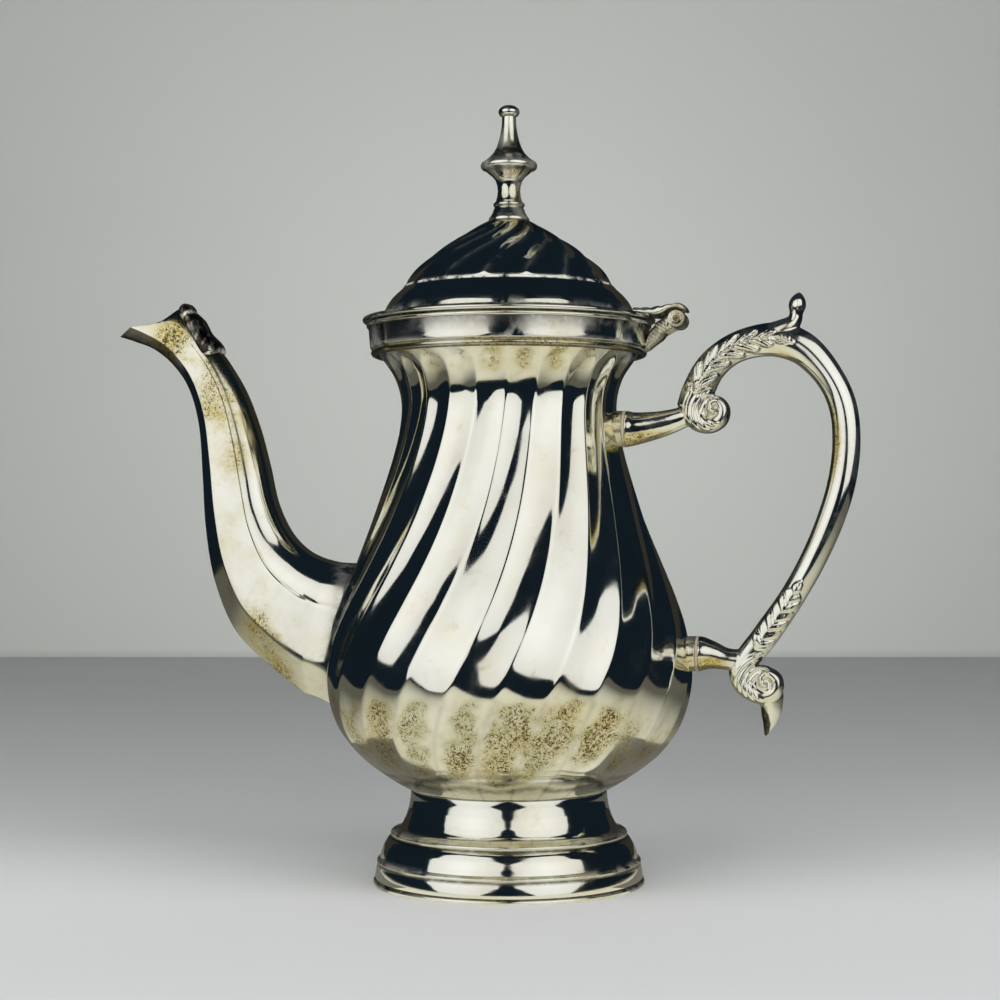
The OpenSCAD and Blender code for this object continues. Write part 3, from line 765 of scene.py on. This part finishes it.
def swirl(eye, x, z, pitch, lo, hi, first, last, height):
    """Grooves that fan round a volute's eye, between two radii and two angles."""
    dx, dz = x - eye[0], z - eye[1]
    r = math.hypot(dx, dz)
    if r < lo - 0.5 or r > hi:
        return 0.0
    angle = math.degrees(math.atan2(dz, dx)) % 360
    share = ease((angle - first) / 25) * ease((last - angle) / 25)
    share *= ease((r - lo) / 0.8) * ease((hi - r) / 0.8)
    return height * math.cos(TAU * (r / pitch - angle / 200)) * share


def handle_relief(x, z):
    raised = 0.0
    if z > 140:
        raised += leaf(UPPER_SPINE, x, z, 6.2, 1.5, 4.2, 1.35, 4.5)
        raised += swirl(UPPER_EYE, x, z, 3.4, 3.6, 11.5, 110, 290, 0.30)
        raised -= 0.25 * math.exp(-((x - 92.0 + 0.12 * (z - 182)) / 0.4) ** 2) * ease((z - 177) / 2)
    elif z < 97:
        raised += leaf(LOWER_SPINE, x, z, 7.0, 0.9, 4.3, 1.35, 2.0, True)
        raised += swirl(LOWER_EYE, x, z, 3.2, 3.8, 11.5, 75, 265, 0.34)
    return raised


# The edge of the tail's facet that is painted in shade: z, x
TAIL_RIDGE = [(47, 82.4), (51.8, 83.5), (54.9, 82.9), (57, 81.4)]


def handle():
    def groove(u):
        return 0.16 * ease((u - 0.33) / 0.05) * ease((0.84 - u) / 0.05)

    parts = [
        limb_rings(GRIP, 300, 56, power=0.72, facet=0.24, groove=groove),
        limb_rings(UPPER_VOLUTE, 110, 28, power=0.8),
        limb_rings(LOWER_VOLUTE, 120, 28, power=0.8),
        limb_rings(UPPER_STEM, 50, 36),
        limb_rings(LOWER_STEM, 40, 36),
        limb_rings(CURL, 60, 28),
        limb_rings(TAIL, 60, 28, power=1.25),
    ]
    # Webs that fill the volutes behind their spirals
    for x, z, r, w in ((64.7, 149.3, 5.2, 3.2), (80.4, 64.4, 5.4, 3.2)):
        parts.append(rod(x, z, r, -w, w))
    obj = merge("handle_cast", parts, "pot", SILVER_CAST, ["handle"], voxel=0.3, smooth=3,
                relief=handle_relief)

    def rule(x, y, z):
        stem = ease((64 - x) / 6) if z > 138 else ease((72 - x) / 5)
        leafy = sum(math.exp(-(math.hypot(x - cx, z - cz) / 13) ** 2) for cx, cz in ((68, 160), (80, 72)))
        under = 0.75 * stem * ease(((UPPER_Z if z > 110 else LOWER_Z) - z) / 2.5 + 0.1)
        inner = 0.75 * math.exp(-((math.hypot(x - 79, (z - 140) * 0.9) - 24.5) / 1.5) ** 2)
        inner *= ease((x - 80) / 10)
        # Painted shade on the tail's facet, beyond the line in TAIL_RIDGE
        tail = 0.9 * ease((lookup(TAIL_RIDGE, z) - x) / 0.35) if 47 < z < 57 else 0
        return clamp(0.10 + 0.8 * under + inner * ease((z - 105) / 10)), 0.03, clamp(0.10 * leafy + tail)

    return wear_and_painted_light(obj, rule)


def turned_x(name, x0, x1, z, r, material, nodes, slot, soft=0.35):
    profile = rounded([(0.4, x0), (r, x0), (r, x1), (0.4, x1)], soft)
    sides = 96
    rings = [[(x, q * math.cos(TAU * k / sides), z + q * math.sin(TAU * k / sides)) for k in range(sides)]
             for q, x in reversed(profile)]
    obj = skin(name, rings, "pot", material, nodes, loop=True, slot=slot, sharp=50)
    return wear_and_painted_light(obj, lambda px, py, pz: (0.5, 0.2, 0.0))


# Hinge ----------------------------------------------------------------------------------------------

BARREL, KNUCKLE_Y = 2.7, 6.3


def hinge_leafwork():
    """The bracket on the pot and the hood on the lid, each with its knuckles, and the pin through them."""
    web = [
        (43.9, 168.2, 0.5, 1.0), (44.7, 169.4, 1.2, 2.8), (45.9, 171.2, 1.9, 3.9),
        (47.2, 172.9, 2.5, 4.4), (48.6, 174.2, 2.5, 4.7), (49.7, 175.0, 2.1, 4.9),
    ]
    arm = [(48.4, 174.8, 2.2, 2.0), (50.6, 176.0, 2.2, 1.95), (53.0, 177.3, 2.25, 1.95),
           (54.4, 178.0, 2.2, 1.9)]
    # A thin plate in the gap under the hood, which carries a dark spot of painted shade
    plate = [(45.8, 172.6, 1.2, 1.6), (47.9, 175.2, 1.6, 1.6), (49.1, 177.2, 1.2, 1.6),
             (49.3, 178.1, 0.6, 1.4)]
    parts = [limb_rings(web, 30, 32, power=0.8), limb_rings(plate, 20, 24)]
    for side in (-1, 1):
        parts.append(limb_rings(arm, 20, 24, y0=side * 4.3))
        parts.append(rod(HINGE_X, HINGE_Z, BARREL, *sorted((side * 2.35, side * KNUCKLE_Y))))

    def bracket_relief(x, z):
        r = math.hypot(x - HINGE_X, z - HINGE_Z)
        if r < BARREL:
            return 0.14 * math.cos(TAU * r / 2.2) - 0.1
        return 0.35 * math.sin(TAU * ((x + 0.8 * z) / 2.9)) * ease((52.5 - x) / 2)

    bracket = merge("hinge_leaf_bracket", parts, "pot", SILVER_CAST, ["hinge_bracket"], voxel=0.24, smooth=2,
                    relief=bracket_relief)

    def bracket_rule(x, y, z):
        # Painted shade: a dark spot on the plate, where the gap under the hood is in shade
        return 0.55, 0.10, 0.20 + 0.6 * math.exp(-(math.hypot(x - 49.3, z - 177.6) / 1.5) ** 2)

    wear_and_painted_light(bracket, bracket_rule)
    hood = [
        (40.4, 180.8, 1.4, 4.4), (43.0, 180.7, 1.2, 4.9), (46.4, 180.4, 1.5, 5.5),
        (48.8, 180.5, 1.75, 6.0), (50.8, 181.2, 1.25, 6.3), (52.6, 181.8, 0.9, 6.5),
        (54.6, 182.0, 0.95, 6.6), (55.9, 181.65, 1.0, 6.4), (56.8, 181.2, 0.8, 6.0),
        (57.5, 180.85, 0.3, 5.0),
    ]
    rings = [[(x, y * 6.72 / 6.7, z) for x, y, z in ring] for ring in rod(HINGE_X, HINGE_Z, 1.05, -6.7, 6.7)]
    pin = skin("hinge_rivet", rings, "pot", SILVER_CAST, ["hinge_pin"], loop=False, caps=True, sharp=40)
    wear_and_painted_light(pin, lambda x, y, z: (0.9, 0.1, 0.55))
    neck = [(HINGE_X, 178, 2.0, 1.85), (HINGE_X, 180, 2.0, 1.85), (HINGE_X, 181.9, 1.8, 1.8)]
    parts = [limb_rings(hood, 60, 40, power=0.7), limb_rings(neck, 8, 24),
             rod(HINGE_X, HINGE_Z, BARREL, -1.95, 1.95)]
    leaf_hood = merge("hinge_leaf_hood", parts, "lid", SILVER_CAST, ["lid_leaf"], voxel=0.24, smooth=2)
    mesh = leaf_hood.data
    for v in mesh.vertices:
        x, y, z = v.co / MM
        if z > 180.2 and v.normal.z > 0.3:
            rib = 0.16 * math.cos(TAU * y / 3.1) + 0.12 * math.cos(TAU * (x + abs(y)) / 3.4)
            v.co.z += rib * MM * ease((x - 40) / 3) * ease((57.6 - x) / 2)
    mesh.update()
    # Painted shade: darker below 180.2 mm, under the hood and on its knuckle
    wear_and_painted_light(leaf_hood, lambda x, y, z: (0.4, 0.20, 0.10 + 0.5 * ease((180.2 - z) / 0.8)))


# Lid ------------------------------------------------------------------------------------------------

DOME_OUTLINE = [
    (RING_R, RING_Z), (32.4, 191.6), (30.2, 194.6), (27, 197.6), (23, 200.8), (18.5, 203.9),
    (14, 206.7), (9.6, 209.3), (6.4, DOME_TOP),
]


def lid_turn(r):
    return FRONT + 8.8 + LID_SWIRL * clamp((RING_R - r) / (RING_R - 9)) ** 1.25


def lid_ring(u, inset, spots):
    r0, z0 = along(DOME_OUTLINE, u)
    t = heading(DOME_OUTLINE, u)
    edge = u <= 0
    rr, zz = r0 - inset * (1 if edge else t[1]), z0 + inset * (0 if edge else t[0])
    start = math.radians(lid_turn(r0))
    ring = []
    for share, s in spots:
        web = 0.9 * (2 * s - 1) ** 4
        depth = LID_DEPTH * ease((z0 - RING_Z - 0.25 - web) / 2.6) * ease((r0 - 6) / 8)
        d = depth * hollow(s, 0.035)
        a, r = start + TAU * share, rr - d * t[1]
        ring.append((r * math.cos(a), r * math.sin(a), zz + d * t[0]))
    return ring


def lid_dome():
    spots = places(LID_FLUTES, 20)
    flat = [(math.radians(lid_turn(6.4)) + TAU * share) for share, _ in spots]
    rings = [lid_ring(i / 110, 0, spots) for i in range(111)]
    rings += [[(2 * math.cos(a), 2 * math.sin(a), z) for a in flat] for z in (DOME_TOP, DOME_TOP - WALL)]
    rings += [lid_ring(i / 50, WALL, spots) for i in range(50, -1, -1)]
    obj = skin("lid_fluted_dome", rings, "lid", SILVER, ["lid_dome"], sharp=55)

    def rule(x, y, z):
        r = math.hypot(x, y)
        foot = ease((RING_Z + 1.0 - z) / 0.7)
        s = ((math.degrees(math.atan2(y, x)) - lid_turn(r)) / (360 / LID_FLUTES)) % 1
        ridge = (2 * s - 1) ** 8
        return 0.12 + 0.5 * ease((z - 204) / 5), clamp(0.9 * foot * (0.3 + ridge) + 0.05 * ridge), 0.0

    return wear_and_painted_light(obj, rule)


def lid_rim():
    shoulder = [
        (RING_R - 0.6, RING_Z + 0.35), (RING_R + 0.5, RING_Z + 0.3), (RING_R + 0.8, RING_Z - 0.5),
        (34.9, 188.0), (36.5, 186.6), (37.9, 185.0), (39.0, 183.3), (39.7, 181.9), (40.05, 180.9),
        (40.3, 180.2), (41.2, 179.62),
    ]
    under = [(r - WALL, z - 0.5) for r, z in reversed(shoulder[3:10])]
    profile = (rounded(shoulder, 0.9, closed=False) + [(LIP_R - 1.4, LID_Z + 0.95)]
               + arc(LIP_R - 0.75, LID_Z + 0.25, 0.75, 100, -90, 14)
               + [(LIP_R - 1.4, LID_Z - 0.5), (LIP_R - 1.5, LID_Z), (39.3, LID_Z)] + under
               + [(RING_R - WALL, RING_Z - 0.5), (RING_R - WALL, RING_Z)])
    obj = lathe("lid_shoulder", list(reversed(profile)), "lid", SILVER, ["lid_rim"], segments=256)

    def rule(x, y, z):
        a = math.atan2(y, x)
        blot = 0.5 + 0.5 * noise.noise((math.cos(a) * 3.1, math.sin(a) * 3.1, 0.7))
        low = math.exp(-((z - 180.4) / 1.3) ** 2)
        ring = ease((z - RING_Z + 0.7) / 0.4)
        left = ease((-20 - x) / 8)
        return 0.12 + 0.15 * low, clamp(low * (0.05 + (0.8 + left) * blot ** 3) + ring), \
            0.6 * math.exp(-((z - 179.5) / 0.25) ** 2)

    return wear_and_painted_light(obj, rule)


def lid_bezel():
    r = BAND_R - 2.2
    profile = rounded([(r - 0.8, LID_Z - 4.4), (r - 0.3, LID_Z - 4.4), (r, LID_Z - 4), (r, LID_Z),
                       (r - 0.8, LID_Z)], 0.15)
    obj = lathe("lid_collar", profile, "lid", SILVER, ["lid_bezel"])
    return wear_and_painted_light(obj, lambda x, y, z: (0.4, 0.2, 0.3))


def finial():
    top = DOME_TOP
    outside = ([(6.5, top), (6.55, top + 0.6), (6.0, top + 1.3), (5.4, 213.3), (4.9, 214.6), (4.6, 215.2)]
               + arc(4.25, 216.1, 0.8, -60, 70, 8)
               + [(4.15, 217.4), (3.8, 218.8), (3.6, 220.6), (3.75, 222.2), (4.3, 223.9), (5.3, 225.2),
                  (6.7, 226.3),
                  (7.4, 227.0)]
               + arc(7.7, 228.6, 1.4, -55, 60, 10)
               + [(7.5, 230.4), (6.4, 231.3), (5, 232.8), (4.1, 234.4), (3.4, 236.3), (2.8, 238.6),
                  (2.35, 241.4),
                  (2.3, 243.3)]
               + [(3.4 * math.cos(math.radians(a)), 246 + 2.2 * math.sin(math.radians(a)))
                  for a in range(-50, 85, 9)]
               + [(0.35, 248.2)])
    inside = [(0.2, top - 6.4), (1.6, top - 6.4), (1.6, top)]
    sides = 96
    rings = [[(r * math.cos(TAU * k / sides), r * math.sin(TAU * k / sides), z) for k in range(sides)]
             for r, z in inside + outside]
    obj = skin("finial_turned", rings, "lid", SILVER_CAST, ["finial"], loop=False, caps=True, sharp=60)

    def rule(x, y, z):
        grime = 0.45 * math.exp(-((z - 232.5) / 2.2) ** 2) + 0.4 * math.exp(-((z - 219) / 3) ** 2)
        edge = math.exp(-((z - 226.8) / 0.5) ** 2) + math.exp(-((z - 215.0) / 0.4) ** 2)
        blot = ease(0.5 + 1.2 * noise.noise((x * 0.25, y * 0.25, z * 0.18)))
        return 0.22 + grime, 0.22 * blot + 0.15 * math.exp(-((z - 229) / 1.5) ** 2), clamp(0.55 * edge)

    return wear_and_painted_light(obj, rule)


# The pot --------------------------------------------------------------------------------------------

body_shell()
foot()
foot_wire()
neck_bead()
neck_band()
spout()
crest()
handle()
turned_x("upper_stub", 33, 37, UPPER_Z, 5.75, SILVER_CAST, ["upper_socket"], "silver_plate")
turned_x("lower_stub", 57, 60, LOWER_Z, 5.5, SILVER_CAST, ["lower_socket"], "silver_plate")
turned_x("upper_washer", 37, 37 + WASHER, UPPER_Z, 5.8, BONE, ["upper_insulator"], "bone", 0.25)
turned_x("lower_washer", 60, 60 + WASHER, LOWER_Z, 5.55, BONE, ["lower_insulator"], "bone", 0.25)
lid_dome()
lid_rim()
lid_bezel()
finial()
hinge_leafwork()
for node in ("finial_washer", "finial_nut"):
    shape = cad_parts[node].data
    shape.materials.clear()
    shape.materials.append(SILVER_CAST)


# Studio ---------------------------------------------------------------------------------------------

CAMERA_AZ, CAMERA_D, CAMERA_Z, CAMERA_PITCH = 12.0, 0.645, 0.112, 0.85
MIRRORED = dict(visible_camera=False, visible_diffuse=False, visible_shadow=False, visible_transmission=False)


def stage_quads(name, quads, material, **seen):
    mesh = bpy.data.meshes.new(name)
    corners = [corner for quad in quads for corner in quad]
    faces, base = [], 0
    for quad in quads:
        faces.append(tuple(range(base, base + len(quad))))
        base += len(quad)
    mesh.from_pydata(corners, [], faces)
    mesh.materials.append(material)
    obj = bpy.data.objects.new(name, mesh)
    bpy.context.scene.collection.objects.link(obj)
    for key, value in seen.items():
        setattr(obj, key, value)
    return obj


def around(az, d, z=0.0):
    """The point at an azimuth measured as the camera's is, at distance d from the pot's axis."""
    a = math.radians(az)
    return Vector((d * math.sin(a), -d * math.cos(a), z))


def glow(name, colour, strength, near=0.0, far=0.66, dimmed=1.0):
    """A surface that shines, a little less from near to far from its own origin."""
    material = bpy.data.materials.new(name)
    material.use_nodes = True
    n = Nodes(material.node_tree)
    place = n.add("ShaderNodeTexCoord").outputs["Object"]
    length = n.add("ShaderNodeVectorMath", operation="LENGTH")
    n.put(place, length.inputs[0])
    fall = n.span(length.outputs["Value"], near, far, strength * 1.08, strength * 0.86 * dimmed)
    light = n.add("ShaderNodeEmission", Color=(*colour, 1), Strength=fall)
    out = n.add("ShaderNodeOutputMaterial")
    n.put(light.outputs[0], out.inputs["Surface"])
    return material


def softbox(name, az, elevation, distance, radius, glow_material, power):
    """An eight-sided softbox: a panel that only mirrors see, and a lamp that mirrors don't."""
    target = Vector((0, 0, 0.1))
    e = math.radians(elevation)
    centre = target + around(az, distance * math.cos(e), distance * math.sin(e))
    turn_to = (target - centre).to_track_quat("-Z", "Y")
    turns = [TAU * (k + 0.5) / 8 for k in range(8)]
    corners = [(radius * math.cos(a), 0.87 * radius * math.sin(a), 0) for a in turns]
    panel = stage_quads(name, [corners], glow_material, **MIRRORED)
    panel.location = centre
    panel.rotation_mode = "QUATERNION"
    panel.rotation_quaternion = turn_to
    lamp = bpy.data.lights.new(name + "_lamp", "AREA")
    lamp.shape, lamp.size, lamp.energy = "DISK", 2 * radius * 0.96, power
    lamp_obj = bpy.data.objects.new(name + "_lamp", lamp)
    bpy.context.scene.collection.objects.link(lamp_obj)
    lamp_obj.location = centre
    lamp_obj.rotation_mode = "QUATERNION"
    lamp_obj.rotation_quaternion = turn_to
    lamp_obj.visible_glossy = False
    lamp_obj.visible_camera = False


def studio():
    back, front, wide, near_back, near_wide = 1.133, 0.31, 2.4, 0.45, 0.55
    ahead, left = around(CAMERA_AZ, 1), around(CAMERA_AZ - 90, 1)

    def table_painted_light(n, place):
        # Painted light falloff: the table is darker behind the pot than in front of it, and a little darker
        # again nearest the camera
        dot = n.add("ShaderNodeVectorMath", operation="DOT_PRODUCT")
        n.put(place, dot.inputs[0])
        n.put(tuple(ahead), dot.inputs[1])
        d = dot.outputs["Value"]
        return n.math("SUBTRACT", n.span(d, -0.34, 0.0, 0.575, 0.72), n.span(d, 0.02, 0.16, 0, 0.06))

    def wall_painted_light(n, place):
        # Painted light: brightest round a spot 0.2 m up behind the pot and darker towards its edges, with
        # painted shade in the bottom 8 mm along the table
        shift = n.add("ShaderNodeVectorMath", operation="SUBTRACT")
        n.put(place, shift.inputs[0])
        n.put(tuple(ahead * -back + Vector((0, 0, 0.2))), shift.inputs[1])
        length = n.add("ShaderNodeVectorMath", operation="LENGTH")
        n.put(shift.outputs[0], length.inputs[0])
        height = n.add("ShaderNodeSeparateXYZ", Vector=place).outputs[2]
        rim = n.span(length.outputs["Value"], 0.05, 0.62, 0.985, 0.79)
        return n.math("MULTIPLY", rim, n.span(height, 0.0, 0.008, 0.85, 1.0))

    floor_mat = matte("table_top", (0.98, 1.0, 1.0), (0.96, 0.97, 0.98), 5, table_painted_light)
    wall_mat = matte("backdrop_paper", (0.89, 0.91, 0.855), (0.87, 0.89, 0.835), 3, wall_painted_light)

    def floor_quad(d0, d1, s0, s1):
        return [ahead * d + left * s for d, s in ((d0, s0), (d0, s1), (d1, s1), (d1, s0))]

    stage_quads("table_top", [floor_quad(-back, 4, -wide, wide)], floor_mat, visible_glossy=False)
    up = Vector((0, 0, 3))
    foot_line = [ahead * -back + left * wide, ahead * -back - left * wide]
    stage_quads("backdrop", [[*foot_line, foot_line[1] + up, foot_line[0] + up]], wall_mat,
                visible_glossy=False)
    # Painted reflections, seen only in mirrors: glowing stand-ins for what the pot mirrors, a dim wall, a
    # table brightest in front, and painted shade beside and behind the foot
    dim = glow("dim_glow", (1.0, 0.95, 0.78), 0.035)
    edge, rise, aside = ahead * -back, Vector((0, 0, 0.9)), left * 0.9
    stage_quads("wall_in_mirrors", [[edge + aside, edge - aside, edge - aside + rise, edge + aside + rise]],
                dim, **MIRRORED)
    sheen = glow("table_glow", (0.97, 0.95, 0.78), 0.74, 0.10, 0.42, 0.18)
    brightest, beside, level_with = ahead * 0.13, 0.10, 0.02
    mirrored = [floor_quad(level_with, front, -near_wide, near_wide),
                floor_quad(-near_back, level_with, beside, near_wide),
                floor_quad(-near_back, level_with, -near_wide, -beside)]
    table = stage_quads("table_in_mirrors", [[c - brightest for c in quad] for quad in mirrored], sheen,
                        **MIRRORED)
    layer = Vector((0, 0, 0.0005))
    table.location = brightest - layer
    shaded = [c - layer * 2 for c in floor_quad(-near_back, level_with, -beside, beside)]
    stage_quads("shade_in_mirrors", [shaded], glow("shade_glow", (1.0, 0.97, 0.84), 0.17), **MIRRORED)
    key = glow("softbox_glow", (1.0, 1.0, 0.99), 0.96)
    elevation, distance, power = 21, 0.9, 9.5
    for side, az, radius in (("left", -42, 0.65), ("right", 37, 0.605)):
        softbox("softbox_" + side, CAMERA_AZ + az, elevation, distance, radius, key, power)
    top = bpy.data.lights.new("fill_lamp", "AREA")
    top.shape, top.size, top.energy = "DISK", 2.4, 9
    fill = bpy.data.objects.new("fill_lamp", top)
    bpy.context.scene.collection.objects.link(fill)
    fill.location = around(CAMERA_AZ + 180, 0.3, 2.2)
    fill.visible_glossy = False
    fill.visible_camera = False
    world = bpy.data.worlds.new("room")
    bpy.context.scene.world = world
    world.use_nodes = True
    n = Nodes(world.node_tree)
    seen = n.add("ShaderNodeLightPath").outputs["Is Camera Ray"]
    dim = n.add("ShaderNodeBackground", Color=(0.006, 0.012, 0.019, 1), Strength=1.0)
    pale = n.add("ShaderNodeBackground", Color=(0.42, 0.44, 0.41, 1), Strength=1.0)
    mixer = n.add("ShaderNodeMixShader")
    n.put(seen, mixer.inputs[0])
    n.put(dim.outputs[0], mixer.inputs[1])
    n.put(pale.outputs[0], mixer.inputs[2])
    out = n.add("ShaderNodeOutputWorld")
    n.put(mixer.outputs[0], out.inputs["Surface"])


def camera():
    cam = bpy.data.cameras.new("camera")
    cam.lens, cam.sensor_width, cam.shift_x = 72.6, 36.0, -0.009
    cam.clip_start, cam.clip_end = 0.01, 20
    obj = bpy.data.objects.new("camera", cam)
    bpy.context.scene.collection.objects.link(obj)
    obj.location = around(CAMERA_AZ, CAMERA_D, CAMERA_Z)
    obj.rotation_euler = (math.radians(90 + CAMERA_PITCH), 0, math.radians(CAMERA_AZ))
    bpy.context.scene.camera = obj


studio()
camera()
bpy.context.scene.view_settings.view_transform = "Standard"
